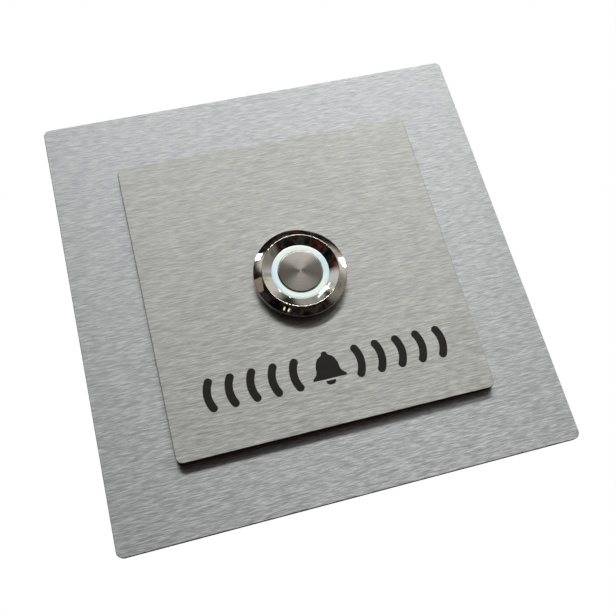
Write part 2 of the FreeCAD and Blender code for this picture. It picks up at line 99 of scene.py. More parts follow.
brushing = {
    "coarseLength": 2.6, "coarseWidth": 2.1, "coarseShare": 0.25, "coarseSeed": 7.0,
    "darkAt": 0.37, "middleAt": 0.5, "lightAt": 0.63, "edgeTilt": 0.55, "faceTilt": 0.97,
    "reliefDepth": 0.02, "smoothest": 0.47, "roughest": 0.63, "stretch": 0.8, "relief": 0.6,
}


def brushedStainless(name, look):
    # 304 stainless sheet with a linear belt finish: short bright and dark hairs along X, and
    # a highlight that stretches across them. The laser-cut edges are dark with oxide.
    b = brushing
    finish, tree = newFinish(name)
    place = addNode(tree, "ShaderNodeTexCoord")
    fineLength, fineWidth = look["hairLength"], look["hairWidth"]
    hairs = []
    for length, width, seed in (
            (fineLength, fineWidth, 0.0),
            (fineLength * b["coarseLength"], fineWidth * b["coarseWidth"], b["coarseSeed"])):
        stretch = addNode(tree, "ShaderNodeMapping", {
            "Vector": place.outputs["Object"],
            "Location": (seed, seed, seed),
            "Scale": (1 / (length * mm), 1 / (width * mm), 1 / (width * mm))})
        hairs.append(addNode(tree, "ShaderNodeTexNoise", {
            "Vector": stretch.outputs[0], "Scale": 1.0, "Detail": 3.0, "Roughness": 0.6}))
    both = addNode(tree, "ShaderNodeMix", {
        "Factor": b["coarseShare"], "A": hairs[0].outputs[0],
        "B": hairs[1].outputs[0]}, data_type="FLOAT")
    tone = addNode(tree, "ShaderNodeValToRGB", {"Fac": both.outputs[0]}, stops=(
        (b["darkAt"], look["dark"]), (b["middleAt"], look["middle"]),
        (b["lightAt"], look["light"])))
    facing = addNode(tree, "ShaderNodeSeparateXYZ", {"Vector": place.outputs["Normal"]})
    level = addNode(tree, "ShaderNodeMath", {0: facing.outputs["Y"]}, operation="ABSOLUTE")
    face = addNode(tree, "ShaderNodeMapRange", {
        "Value": level.outputs[0], "From Min": b["edgeTilt"], "From Max": b["faceTilt"]})
    skin = addNode(tree, "ShaderNodeMix", {
        0: face.outputs[0], 6: hexColour(look["cut"]), 7: tone.outputs[0]}, data_type="RGBA")
    gloss = addNode(tree, "ShaderNodeMapRange", {
        "Value": both.outputs[0], "From Min": 0.3, "From Max": 0.7,
        "To Min": b["smoothest"], "To Max": b["roughest"]})
    relief = addNode(tree, "ShaderNodeBump", {
        "Strength": b["relief"], "Distance": b["reliefDepth"] * mm, "Height": both.outputs[0]})
    across = addNode(tree, "ShaderNodeTangent", direction_type="RADIAL", axis="X")
    metal = addNode(tree, "ShaderNodeBsdfPrincipled", {
        "Base Color": skin.outputs[2], "Metallic": 1.0, "Roughness": gloss.outputs[0],
        "Anisotropic": b["stretch"], "Normal": relief.outputs[0],
        "Tangent": across.outputs[0]})
    closeFinish(tree, metal)
    return finish


def polishedSteel():
    # Buffed and lacquer-free steel turning: a mirror with a trace of haze from handling.
    look = {"metal": "#DAD7D2", "hazeSize": 2.2, "smoothest": 0.035, "roughest": 0.085}
    finish, tree = newFinish("mirrorPolishedSteel")
    place = addNode(tree, "ShaderNodeTexCoord")
    haze = addNode(tree, "ShaderNodeTexNoise", {
        "Vector": place.outputs["Object"], "Scale": 1 / (look["hazeSize"] * mm), "Detail": 4.0})
    gloss = addNode(tree, "ShaderNodeMapRange", {
        "Value": haze.outputs[0], "From Min": 0.35, "From Max": 0.65,
        "To Min": look["smoothest"], "To Max": look["roughest"]})
    metal = addNode(tree, "ShaderNodeBsdfPrincipled", {
        "Base Color": hexColour(look["metal"]), "Metallic": 1.0, "Roughness": gloss.outputs[0]})
    closeFinish(tree, metal)
    return finish


def spunSteel():
    # Stainless cap faced on a lathe: rings too fine to see one by one, which turn the light
    # into wedges that meet at the middle. Its bevel is polished.
    look = {"dark": "#9F9B94", "light": "#BAB6AE", "ringPitch": 0.16, "roughness": 0.36,
            "stretch": 0.84, "relief": 0.04, "faceEdge": 4.79, "edgeBlend": 0.06,
            "bevelRoughness": 0.12}
    finish, tree = newFinish("latheFacedStainless")
    place = addNode(tree, "ShaderNodeTexCoord")
    split = addNode(tree, "ShaderNodeSeparateXYZ", {"Vector": place.outputs["Object"]})
    flat = addNode(tree, "ShaderNodeCombineXYZ", {"X": split.outputs["X"], "Y": split.outputs["Z"]})
    reach = addNode(tree, "ShaderNodeVectorMath", {"Vector": flat.outputs[0]}, operation="LENGTH")
    count = addNode(tree, "ShaderNodeMath", {
        0: reach.outputs["Value"], 1: 1 / (look["ringPitch"] * mm)}, operation="MULTIPLY")
    rings = addNode(tree, "ShaderNodeTexNoise", {
        "W": count.outputs[0], "Scale": 1.0, "Detail": 2.0}, noise_dimensions="1D")
    tone = addNode(tree, "ShaderNodeValToRGB", {"Fac": rings.outputs[0]}, stops=(
        (0.3, look["dark"]), (0.7, look["light"])))
    gloss = addNode(tree, "ShaderNodeMapRange", {
        "Value": reach.outputs["Value"], "From Min": look["faceEdge"] * mm,
        "From Max": (look["faceEdge"] + look["edgeBlend"]) * mm, "To Min": look["roughness"],
        "To Max": look["bevelRoughness"]})
    relief = addNode(tree, "ShaderNodeBump", {
        "Strength": look["relief"], "Distance": 0.01 * mm, "Height": rings.outputs[0]})
    around = addNode(tree, "ShaderNodeTangent", direction_type="RADIAL", axis="Y")
    metal = addNode(tree, "ShaderNodeBsdfPrincipled", {
        "Base Color": tone.outputs[0], "Metallic": 1.0, "Roughness": gloss.outputs[0],
        "Anisotropic": look["stretch"], "Anisotropic Rotation": 0.25,
        "Normal": relief.outputs[0], "Tangent": around.outputs[0]})
    closeFinish(tree, metal)
    return finish


def milkyLens():
    # Diffusing polycarbonate over cool white lamps: mint white above and below, and bluer at
    # both sides, with slight clouds and the fine ring lines of its turned mould.
    look = {"plastic": "#D5E1DD", "glowHot": "#E9F8EE", "glowCool": "#9FD6EE", "strength": 0.4,
            "sideWidth": 3.2, "sideStart": -1.35, "cloud": 2.4, "linePitch": 0.34,
            "lineDepth": 0.72, "roughness": 0.28}
    finish, tree = newFinish("litMilkyPolycarbonate")
    place = addNode(tree, "ShaderNodeTexCoord")
    split = addNode(tree, "ShaderNodeSeparateXYZ", {"Vector": place.outputs["Object"]})
    aside = addNode(tree, "ShaderNodeMath", {0: split.outputs["X"]}, operation="ABSOLUTE")
    clouds = addNode(tree, "ShaderNodeTexNoise", {
        "Vector": place.outputs["Object"], "Scale": 1 / (look["cloud"] * mm), "Detail": 2.0})
    blend = addNode(tree, "ShaderNodeMath", {
        0: aside.outputs[0], 1: 1 / (look["sideWidth"] * mm), 2: look["sideStart"]},
        operation="MULTIPLY_ADD")
    both = addNode(tree, "ShaderNodeMath", {0: blend.outputs[0], 1: clouds.outputs[0]})
    glow = addNode(tree, "ShaderNodeValToRGB", {"Fac": both.outputs[0]}, stops=(
        (0.35, look["glowHot"]), (1.0, look["glowCool"])))
    flat = addNode(tree, "ShaderNodeCombineXYZ", {"X": split.outputs["X"], "Y": split.outputs["Z"]})
    reach = addNode(tree, "ShaderNodeVectorMath", {"Vector": flat.outputs[0]}, operation="LENGTH")
    count = addNode(tree, "ShaderNodeMath", {
        0: reach.outputs["Value"], 1: 1 / (look["linePitch"] * mm)}, operation="MULTIPLY")
    lines = addNode(tree, "ShaderNodeTexNoise", {
        "W": count.outputs[0], "Scale": 1.0, "Detail": 1.0}, noise_dimensions="1D")
    power = addNode(tree, "ShaderNodeMapRange", {
        "Value": lines.outputs[0], "From Min": 0.38, "From Max": 0.55,
        "To Min": look["strength"] * look["lineDepth"], "To Max": look["strength"]})
    body = addNode(tree, "ShaderNodeBsdfPrincipled", {
        "Base Color": hexColour(look["plastic"]), "Roughness": look["roughness"], "IOR": 1.58,
        "Emission Color": glow.outputs[0], "Emission Strength": power.outputs[0]})
    closeFinish(tree, body)
    return finish


def mouldedPlastic(name, look):
    # Injection-moulded nylon: satin, with the fine spark-eroded grain of the tool.
    finish, tree = newFinish(name)
    place = addNode(tree, "ShaderNodeTexCoord")
    grain = addNode(tree, "ShaderNodeTexNoise", {
        "Vector": place.outputs["Object"], "Scale": 1 / (look["grain"] * mm), "Detail": 3.0})
    tone = addNode(tree, "ShaderNodeValToRGB", {"Fac": grain.outputs[0]}, stops=(
        (0.35, look["dark"]), (0.65, look["light"])))
    relief = addNode(tree, "ShaderNodeBump", {
        "Strength": 0.25, "Distance": 0.03 * mm, "Height": grain.outputs[0]})
    body = addNode(tree, "ShaderNodeBsdfPrincipled", {
        "Base Color": tone.outputs[0], "Roughness": look["roughness"], "IOR": 1.53,
        "Normal": relief.outputs[0]})
    closeFinish(tree, body)
    return finish


def foamTape():
    # Closed-cell polyethylene foam with a clear adhesive film: small cells under a faint sheen.
    look = {"dark": "#17181A", "light": "#2C2E30", "cell": 0.35, "roughness": 0.62}
    finish, tree = newFinish("closedCellFoam")
    place = addNode(tree, "ShaderNodeTexCoord")
    cells = addNode(tree, "ShaderNodeTexVoronoi", {
        "Vector": place.outputs["Object"], "Scale": 1 / (look["cell"] * mm)})
    tone = addNode(tree, "ShaderNodeValToRGB", {"Fac": cells.outputs["Distance"]}, stops=(
        (0.1, look["dark"]), (0.6, look["light"])))
    relief = addNode(tree, "ShaderNodeBump", {
        "Strength": 0.35, "Distance": 0.05 * mm, "Height": cells.outputs["Distance"]})
    body = addNode(tree, "ShaderNodeBsdfPrincipled", {
        "Base Color": tone.outputs[0], "Roughness": look["roughness"],
        "Coat Weight": 0.25, "Coat Roughness": 0.35, "Normal": relief.outputs[0]})
    closeFinish(tree, body)
    return finish


def sealRubber():
    # Nitrile rubber, moulded and dusted with talc: near black, soft and dull.
    return mouldedPlastic("mouldedNitrileRubber", {
        "dark": "#101010", "light": "#1E1E1D", "grain": 0.2, "roughness": 0.7})


def platedMetal(name, look):
    # Barrel-plated metal: bright, with slight pits and a faint tarnish between them.
    finish, tree = newFinish(name)
    place = addNode(tree, "ShaderNodeTexCoord")
    spots = addNode(tree, "ShaderNodeTexNoise", {
        "Vector": place.outputs["Object"], "Scale": 1 / (look["spot"] * mm), "Detail": 5.0})
    tone = addNode(tree, "ShaderNodeValToRGB", {"Fac": spots.outputs[0]}, stops=(
        (0.34, look["dark"]), (0.62, look["light"])))
    gloss = addNode(tree, "ShaderNodeMapRange", {
        "Value": spots.outputs[0], "From Min": 0.3, "From Max": 0.7,
        "To Min": look["roughest"], "To Max": look["smoothest"]})
    relief = addNode(tree, "ShaderNodeBump", {
        "Strength": 0.15, "Distance": 0.02 * mm, "Height": spots.outputs[0]})
    metal = addNode(tree, "ShaderNodeBsdfPrincipled", {
        "Base Color": tone.outputs[0], "Metallic": 1.0, "Roughness": gloss.outputs[0],
        "Normal": relief.outputs[0]})
    closeFinish(tree, metal)
    return finish


def fibreglassBoard():
    # Epoxy glass board with a white solder mask, and the weave of the glass just showing.
    look = {"dark": "#D3D6D0", "light": "#EEF0EA", "weave": 0.5}
    finish, tree = newFinish("whiteMaskFibreglass")
    place = addNode(tree, "ShaderNodeTexCoord")
    weave = addNode(tree, "ShaderNodeTexChecker", {
        "Vector": place.outputs["Object"], "Scale": 1 / (look["weave"] * mm),
        "Color1": hexColour(look["dark"]), "Color2": hexColour(look["light"])})
    body = addNode(tree, "ShaderNodeBsdfPrincipled", {
        "Base Color": weave.outputs[0], "Roughness": 0.35, "Coat Weight": 0.3})
    closeFinish(tree, body)
    return finish


def lampChip():
    # Ceramic lamp body with a phosphor gel window that glows cool white.
    look = {"gel": "#FFF4C8", "glow": "#E8F6FF", "grain": 0.15}
    finish, tree = newFinish("phosphorLampChip")
    place = addNode(tree, "ShaderNodeTexCoord")
    grain = addNode(tree, "ShaderNodeTexNoise", {
        "Vector": place.outputs["Object"], "Scale": 1 / (look["grain"] * mm)})
    tone = addNode(tree, "ShaderNodeValToRGB", {"Fac": grain.outputs[0]}, stops=(
        (0.3, look["gel"]), (0.7, "#FFFFFF")))
    body = addNode(tree, "ShaderNodeBsdfPrincipled", {
        "Base Color": tone.outputs[0], "Roughness": 0.4,
        "Emission Color": hexColour(look["glow"]), "Emission Strength": 2.0})
    closeFinish(tree, body)
    return finish


def printInk():
    # Screen-printed two-part ink, cured: near black and warm, satin, with a pinch of orange peel.
    look = {"dark": "#13120F", "light": "#201D18", "peel": 0.5}
    finish, tree = newFinish("screenPrintInk")
    place = addNode(tree, "ShaderNodeTexCoord")
    peel = addNode(tree, "ShaderNodeTexNoise", {
        "Vector": place.outputs["Object"], "Scale": 1 / (look["peel"] * mm), "Detail": 2.0})
    tone = addNode(tree, "ShaderNodeValToRGB", {"Fac": peel.outputs[0]}, stops=(
        (0.35, look["dark"]), (0.65, look["light"])))
    relief = addNode(tree, "ShaderNodeBump", {
        "Strength": 0.2, "Distance": 0.01 * mm, "Height": peel.outputs[0]})
    body = addNode(tree, "ShaderNodeBsdfPrincipled", {
        "Base Color": tone.outputs[0], "Roughness": 0.42, "Normal": relief.outputs[0]})
    closeFinish(tree, body)
    return finish


backSteel = brushedStainless("beltBrushedStainlessCool", {
    "dark": "#A8ABAD", "middle": "#CBCECF", "light": "#ECEDED", "cut": "#54524F",
    "hairLength": 2.2, "hairWidth": 0.17})
frontSteel = brushedStainless("beltBrushedStainlessWarm", {
    "dark": "#A5A6A1", "middle": "#C5C6C2", "light": "#E2E3DE", "cut": "#4A4642",
    "hairLength": 2.4, "hairWidth": 0.15})
mirrorSteel = polishedSteel()
spunCap = spunSteel()
lensPlastic = milkyLens()
rubber = sealRubber()
foam = foamTape()
blackNylon = mouldedPlastic("glassFilledBlackNylon", {
    "dark": "#0E0E0F", "light": "#1B1B1D", "grain": 0.12, "roughness": 0.48})
nickelBrass = platedMetal("nickelPlatedBrass", {
    "dark": "#B7B2A6", "light": "#D9D5CA", "spot": 1.2, "smoothest": 0.16, "roughest": 0.3})
springSteel = platedMetal("drawnSpringSteel", {
    "dark": "#8E8C88", "light": "#B8B6B1", "spot": 0.4, "smoothest": 0.22, "roughest": 0.36})
silver = platedMetal("silverContact", {
    "dark": "#CFCBC0", "light": "#F0EDE6", "spot": 0.3, "smoothest": 0.18, "roughest": 0.3})
tinnedBrass = platedMetal("tinnedBrass", {
    "dark": "#B4B2AC", "light": "#D8D6D0", "spot": 0.8, "smoothest": 0.24, "roughest": 0.42})
board = fibreglassBoard()
chip = lampChip()
ink = printInk()

nodeFinish = {
    "back_plate": backSteel, "front_plate": frontSteel, "wall_gasket": foam,
    "flange_seal": rubber, "mounting_nut": nickelBrass, "plunger": blackNylon,
    "plunger_seal": rubber, "led_board": board, "led_resistor": chip, "led_1": chip,
    "led_2": chip, "led_3": chip, "led_4": chip, "guide_sleeve": blackNylon,
    "contact_bridge": tinnedBrass, "bridge_contact_left": silver,
    "bridge_contact_right": silver, "fixed_contact_left": silver,
    "fixed_contact_right": silver, "bell_terminal_left": tinnedBrass,
    "bell_terminal_right": tinnedBrass, "lamp_terminal_top": tinnedBrass,
    "lamp_terminal_bottom": tinnedBrass, "switch_base": blackNylon, "base_clip": springSteel,
    "return_spring": springSteel, "lamp_spring_top": springSteel,
    "lamp_spring_bottom": springSteel, "button_housing": mirrorSteel,
    "halo_lens": lensPlastic, "actuator": spunCap,
}
for nodeName, finish in nodeFinish.items():
    node = frame["nodes"][nodeName]
    if not node.material_slots:
        node.data.materials.append(finish)
    for holder in node.material_slots:
        holder.material = finish
print("finishes on", len(nodeFinish), "nodes")


# The turned pieces, which take the place of the plainer solids.

def keepPiece(bm, name, finish, body, sharpAngle):
    # A finished mesh becomes a piece that rides on its body. Edges over the angle stay sharp.
    mesh = bpy.data.meshes.new(name)
    bm.to_mesh(mesh)
    bm.free()
    mesh.shade_smooth()
    mesh.set_sharp_from_angle(angle=math.radians(sharpAngle))
    mesh.materials.append(finish)
    piece = bpy.data.objects.new(name, mesh)
    bpy.context.scene.collection.objects.link(piece)
    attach(piece, body)
    return piece


turning = {"roundSegments": 5, "merge": 0.0004}


def turnSection(section, steps, closed):
    # section: radius, height out of the front sheet, and round of each corner, turned about Y
    bm = bmesh.new()
    corners = [bm.verts.new((r * mm, (sheetFace - h) * mm, 0)) for r, h, _ in section]
    pairs = list(zip(corners, corners[1:]))
    if closed:
        pairs.append((corners[-1], corners[0]))
    for one, other in pairs:
        bm.edges.new((one, other))
    rounds = [(corner, size) for corner, (_, _, size) in zip(corners, section) if size]
    for corner, size in rounds:
        bmesh.ops.bevel(bm, geom=[corner], offset=size * mm, offset_type="OFFSET",
                        segments=turning["roundSegments"], profile=0.5, affect="VERTICES",
                        material=-1)
    bmesh.ops.spin(bm, geom=bm.verts[:] + bm.edges[:], cent=(0, 0, 0), axis=(0, 1, 0),
                   angle=math.tau, steps=steps, use_merge=True)
    bmesh.ops.remove_doubles(bm, verts=bm.verts[:], dist=turning["merge"] * mm)
    bmesh.ops.recalc_face_normals(bm, faces=bm.faces[:])
    return bm


housing = {
    "flange": 10.5, "flangeRound": 0.05, "rim": 1.6, "rimRound": 0.08,
    "crest": 8.65, "crestHeight": 2.7, "crestWidth": 0.1, "crestRound": 0.04,
    "dishEnd": 6.48, "dishHeight": 1.75, "dishMiddle": 7.45, "dishMiddleHeight": 2.14,
    "dishRound": 0.95, "threadRoot": 8.86, "neckEnd": -0.9, "barrelEnd": -16.6,
    "boreRound": 0.1, "barrelRound": 0.12, "bore": 7.8, "step": -0.3,
    "clipFront": -15.0, "clipRear": -15.6, "clipWall": 8.25,
    "sealInner": 9.75, "sealOuter": 10.15, "sealDepth": 0.4, "steps": 256, "sharp": 35,
}


def makeHousing():
    # The polished flange: a chamfer up to a narrow crest, then a hollow dish down to the lens.
    p = housing
    bm = turnSection([
        (p["threadRoot"], p["neckEnd"], 0), (p["threadRoot"], 0.0, 0),
        (p["sealInner"], 0.0, 0), (p["sealInner"], p["sealDepth"], 0),
        (p["sealOuter"], p["sealDepth"], 0), (p["sealOuter"], 0.0, 0),
        (p["flange"], 0.0, p["flangeRound"]),
        (p["flange"], p["rim"], p["rimRound"]), (p["crest"], p["crestHeight"], p["crestRound"]),
        (p["crest"] - p["crestWidth"], p["crestHeight"], p["crestRound"]),
        (p["dishMiddle"], p["dishMiddleHeight"], p["dishRound"]),
        (p["dishEnd"], p["dishHeight"], 0), (p["dishEnd"], p["step"], 0),
        (p["bore"], p["step"], 0), (p["bore"], p["clipFront"], 0),
        (p["clipWall"], p["clipFront"], 0), (p["clipWall"], p["clipRear"], 0),
        (p["bore"], p["clipRear"], 0), (p["bore"], p["barrelEnd"], p["boreRound"]),
        (p["threadRoot"], p["barrelEnd"], p["barrelRound"]),
    ], p["steps"], True)
    piece = keepPiece(bm, "turnedHousing", mirrorSteel, "panel", p["sharp"])
    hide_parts("button_housing")


thread = {"outer": 9.35, "root": 8.84, "pitch": 1.0, "start": -1.4, "end": -16.2,
          "rootShare": 0.44, "crestFlat": 0.12, "stepsPerTurn": 72, "sharp": 40}


def makeThread():
    # One rolled ridge wound down the barrel, closed at both ends.
    p = thread
    turns = int((p["start"] - p["end"]) / p["pitch"])
    bm = bmesh.new()
    half, flat = p["pitch"] * p["rootShare"], p["crestFlat"] / 2
    ridge = [(p["root"], half), (p["outer"], flat), (p["outer"], -flat), (p["root"], -half)]
    corners = [bm.verts.new((r * mm, (sheetFace - p["start"] + side) * mm, 0))
               for r, side in ridge]
    section = [bm.edges.new((a, b)) for a, b in zip(corners, corners[1:] + corners[:1])]
    steps = turns * p["stepsPerTurn"]
    bmesh.ops.spin(bm, geom=corners + section, cent=(0, 0, 0), axis=(0, 1, 0),
                   dvec=(0, p["pitch"] * mm / p["stepsPerTurn"], 0),
                   angle=math.tau * turns, steps=steps, use_merge=False)
    bmesh.ops.holes_fill(bm, edges=bm.edges[:], sides=4)
    bmesh.ops.recalc_face_normals(bm, faces=bm.faces[:])
    keepPiece(bm, "barrelThread", mirrorSteel, "panel", p["sharp"])


lens = {
    "inner": 5.25, "outer": 6.45, "outerRound": 0.03, "top": 1.95, "edge": 0.08, "bevel": 0.34,
    "drop": 0.16, "lip": 5.14, "lipEnd": 0.6, "step": -0.3, "insert": 7.77, "end": -5.0,
    "skirt": 7.12, "ledge": -3.9, "steps": 192, "sharp": 15,
}


def makeLens():
    # The lit ring: a face with a lip towards the cap, a wide insert and a skirt over the lamps.
    p = lens
    bm = turnSection([
        (p["lip"], p["top"], p["edge"]), (p["outer"] - p["bevel"], p["top"], 0),
        (p["outer"], p["top"] - p["drop"], p["outerRound"]), (p["outer"], p["step"], 0),
        (p["insert"], p["step"], 0), (p["insert"], p["end"], 0),
        (p["skirt"], p["end"], 0), (p["skirt"], p["ledge"], 0), (p["inner"], p["ledge"], 0),
        (p["inner"], p["lipEnd"], 0), (p["lip"], p["lipEnd"], 0),
    ], p["steps"], True)
    piece = keepPiece(bm, "haloRing", lensPlastic, "panel", p["sharp"])
    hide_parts("halo_lens")


cap = {
    "radius": 5.05, "top": 2.33, "bevel": 0.22, "drop": 0.1, "bevelRound": 0.04,
    "crown": 0.15, "crownRings": 8, "end": -1.2, "bore": 4.3, "roof": 1.0, "steps": 192,
    "sharp": 12,
}


def makeCap():
    # Its face is slightly crowned, so the upper wedge of light is the brighter one.
    p = cap
    faceEdge = p["radius"] - p["bevel"]
    faceHeight = p["top"] - p["crown"]
    face = [(faceEdge * ring / p["crownRings"],
             p["top"] - p["crown"] * (ring / p["crownRings"]) ** 2, 0)
            for ring in range(p["crownRings"])]
    bm = turnSection(face + [
        (faceEdge, faceHeight, p["bevelRound"]),
        (p["radius"], faceHeight - p["drop"], p["bevelRound"]), (p["radius"], p["end"], 0),
        (p["bore"], p["end"], 0), (p["bore"], p["roof"], 0), (0.0, p["roof"], 0),
    ], p["steps"], False)
    piece = keepPiece(bm, "spunCap", spunCap, "push_cap", p["sharp"])
    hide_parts("actuator")


coil = {"wire": 0.35, "turns": 5, "stepsPerTurn": 40, "wireSides": 14, "sharp": 60}


def makeReturnSpring():
    # Drawn wire round the plunger's peg, made at its rest length and riding on the panel. The press
    # travel is read from the joint only to be printed.
    p = coil
    front, rear = (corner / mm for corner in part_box("return_spring"))
    press = next(joint for joint in frame["joints"] if joint["name"] == "button_press")
    length, travel = rear.y - front.y, press["range_m"][1] / mm
    bm = bmesh.new()
    ring = bmesh.ops.create_circle(bm, segments=p["wireSides"], radius=p["wire"] / 2 * mm)
    bmesh.ops.translate(bm, verts=ring["verts"],
                        vec=((rear.x - p["wire"] / 2) * mm, (front.y + p["wire"] / 2) * mm, 0))
    steps = p["turns"] * p["stepsPerTurn"]
    bmesh.ops.spin(bm, geom=bm.verts[:] + bm.edges[:], cent=(0, 0, 0), axis=(0, 1, 0),
                   dvec=(0, (length - p["wire"]) * mm / steps, 0), angle=math.tau * p["turns"],
                   steps=steps, use_merge=False)
    bmesh.ops.holes_fill(bm, edges=bm.edges[:], sides=p["wireSides"])
    bmesh.ops.recalc_face_normals(bm, faces=bm.faces[:])
    piece = keepPiece(bm, "returnCoil", springSteel, "panel", p["sharp"])
    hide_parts("return_spring")
    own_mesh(piece)
    print("return spring is", round(length, 3), "mm long and shortens by", round(travel, 3))


makeHousing()
makeThread()
makeLens()
makeCap()
makeReturnSpring()
print("turned pieces made")


# The print on the front sheet: a bell between sound waves.

sign = {
    "middle": (0.35, -22.42), "height": 7.5, "thickness": 0.02, "stroke": 1.75,
    "arcPlaces": (8.4, 13.1, 17.8, 22.5, 27.2), "arcRadius": 6.0, "arcHalfHeight": 3.75,
    "arcSteps": 24, "endSteps": 12, "curveSteps": 10, "merge": 0.002, "sharp": 35,
}


def addArc(bm, side, place):
    # A sound wave: a band swept about a centre on the bell's side of it, with round ends.
    half, radius = sign["stroke"] / 2, sign["arcRadius"]
    known = len(bm.verts)
    spread = math.asin((sign["arcHalfHeight"] - half) / radius)
    start = Vector((side * math.cos(-spread), 0, math.sin(-spread)))
    reach = (radius - half, radius, radius + half)
    row = [bm.verts.new(start * r * mm) for r in reach]
    edges = [bm.edges.new(pair) for pair in zip(row, row[1:])]
    turned = bmesh.ops.spin(bm, geom=row + edges, cent=(0, 0, 0), axis=(0, -side, 0),
                            angle=2 * spread, steps=sign["arcSteps"], use_merge=False)
    last = [v for v in turned["geom_last"] if isinstance(v, bmesh.types.BMVert)]
    last.sort(key=lambda v: v.co.length)
    for ends, turn in ((row, 1), (last, -1)):
        lip = bm.edges.get((ends[1], ends[2]))
        bmesh.ops.spin(bm, geom=[ends[1], ends[2], lip], cent=ends[1].co, axis=(0, side * turn, 0),
                       angle=math.pi, steps=sign["endSteps"], use_merge=False)
    bmesh.ops.translate(bm, verts=bm.verts[known:],
                        vec=(side * (place - radius - half) * mm, 0, 0))


def bellOutline():
    # Half outlines of the bell and its clapper: across, up and handle. bellMesh mirrors them.
    body = [(0.0, 7.5, "AUTO"), (0.55, 7.3, "AUTO"), (0.75, 6.75, "AUTO"), (1.7, 6.1, "AUTO"),
            (2.45, 4.6, "AUTO"), (2.75, 2.9, "AUTO"), (3.75, 1.75, "VECTOR"),
            (3.75, 1.35, "VECTOR"), (0.0, 1.35, "VECTOR")]
    clapper = [(0.0, 0.95, "VECTOR"), (1.15, 0.95, "VECTOR"), (0.8, 0.2, "AUTO"),
               (0.0, 0.0, "AUTO")]
    return body, clapper


def bellMesh():
    # The filled outline as a flat mesh that stands upright.
    curve = bpy.data.curves.new("bellOutline", "CURVE")
    curve.dimensions = "2D"
    curve.fill_mode = "BOTH"
    curve.resolution_u = sign["curveSteps"]
    for half in bellOutline():
        inner = [p for p in reversed(half) if p[0] > 0]
        points = half + [(-x, y, kind) for x, y, kind in inner]
        line = curve.splines.new("BEZIER")
        line.bezier_points.add(len(points) - 1)
        line.use_cyclic_u = True
        for knot, (x, y, kind) in zip(line.bezier_points, points):
            knot.co = (x * mm, (y - sign["height"] / 2) * mm, 0)
            knot.handle_left_type = knot.handle_right_type = kind
    holder = bpy.data.objects.new("bellOutline", curve)
    bpy.context.scene.collection.objects.link(holder)
    bpy.context.view_layer.update()
    mesh = bpy.data.meshes.new_from_object(holder)
    mesh.transform(Matrix.Rotation(math.radians(90), 4, "X"))
    bpy.data.objects.remove(holder)
    bpy.data.curves.remove(curve)
    return mesh


def makeSign():
    # Bell and waves are one film of ink with its own thickness, on the sheet's face.
    bm = bmesh.new()
    bell = bellMesh()
    bm.from_mesh(bell)
    bpy.data.meshes.remove(bell)
    for side in (-1, 1):
        for place in sign["arcPlaces"]:
            addArc(bm, side, place)
    bmesh.ops.remove_doubles(bm, verts=bm.verts[:], dist=sign["merge"] * mm)
    bmesh.ops.dissolve_degenerate(bm, dist=sign["merge"] * mm, edges=bm.edges[:])
    bm.normal_update()
    bmesh.ops.reverse_faces(bm, faces=[face for face in bm.faces if face.normal.y > 0])
    bmesh.ops.solidify(bm, geom=bm.faces[:], thickness=sign["thickness"] * mm)
    across, up = sign["middle"]
    low = min(v.co.y for v in bm.verts)
    high = max(v.co.y for v in bm.verts)
    bmesh.ops.translate(bm, verts=bm.verts[:],
                        vec=(across * mm, sheetFace * mm - high, up * mm))
    bmesh.ops.recalc_face_normals(bm, faces=bm.faces[:])
    print("print is", round((high - low) / mm, 3), "mm thick")
    keepPiece(bm, "bellSign", ink, "panel", sign["sharp"])


makeSign()
print("print made")


# The studio.

floor = {"level": -180.0, "size": 900.0, "paint": "#E9E9E7", "roughness": 0.7}


def makeFloor():
    bm = bmesh.new()
    bmesh.ops.create_grid(bm, x_segments=1, y_segments=1, size=floor["size"] / 2 * mm)
    bmesh.ops.translate(bm, verts=bm.verts[:], vec=(0, 0, floor["level"] * mm))
    mesh = bpy.data.meshes.new("studioFloor")
    bm.to_mesh(mesh)
    bm.free()
    finish, tree = newFinish("palePaintedFloor")
    paint = addNode(tree, "ShaderNodeBsdfPrincipled", {
        "Base Color": hexColour(floor["paint"]), "Roughness": floor["roughness"]})
    closeFinish(tree, paint)
    mesh.materials.append(finish)
    ground = bpy.data.objects.new("studioFloor", mesh)
    bpy.context.scene.collection.objects.link(ground)
    ground.visible_glossy = False      # the polished bezel keeps the dark room under it


lamps = [
    # name, direction from the object, distance, width and height in metres, roll in degrees,
    # brightness, colour. The first two light the sheets and throw the shadows. The rest are
    # mostly there for the polished bezel to mirror.
    ("stripLight", (0.111, -0.552, 0.826), 2.4, 1.9, 0.27, -4.0, 22.2, "#FFFFFF"),
    ("rightFill", (0.47, -0.62, 0.63), 2.4, 1.0, 0.30, 0, 6.6, "#FFFFFF"),
    ("ceilingSoftbox", (0.32, -0.85, 0.42), 1.5, 1.2, 0.66, 0, 0.14, "#FFFEFC"),
    ("dishStreak", (-0.178, -0.524, 0.833), 1.2, 0.50, 0.018, 50.7, 3.4, "#FFFFFF"),
    ("leftWall", (-0.82, -0.52, 0.25), 1.2, 0.24, 0.40, 0, 0.28, "#FFE9CC"),
    ("leftWindow", (-0.53, -0.245, 0.81), 1.2, 0.18, 0.18, 0, 10.0, "#FFFFFF"),
    ("rightWindow", (0.915, -0.175, 0.355), 1.2, 0.20, 0.22, 0, 10.0, "#FFFFFF"),
    ("firstGap", (-0.480, -0.716, -0.506), 1.2, 0.045, 0.09, -45, 1.4, "#FFF2E4"),
    ("secondGap", (-0.382, -0.724, -0.571), 1.2, 0.045, 0.09, -45, 1.4, "#FFF2E4"),
    ("rearSoftbox", (-0.5, 0.75, 0.45), 1.2, 1.0, 1.0, 0, 3.0, "#FFFFFF"),
    ("rearFill", (0.6, 0.8, 0.1), 1.2, 1.0, 1.0, 0, 2.0, "#F4F8FF"),
]


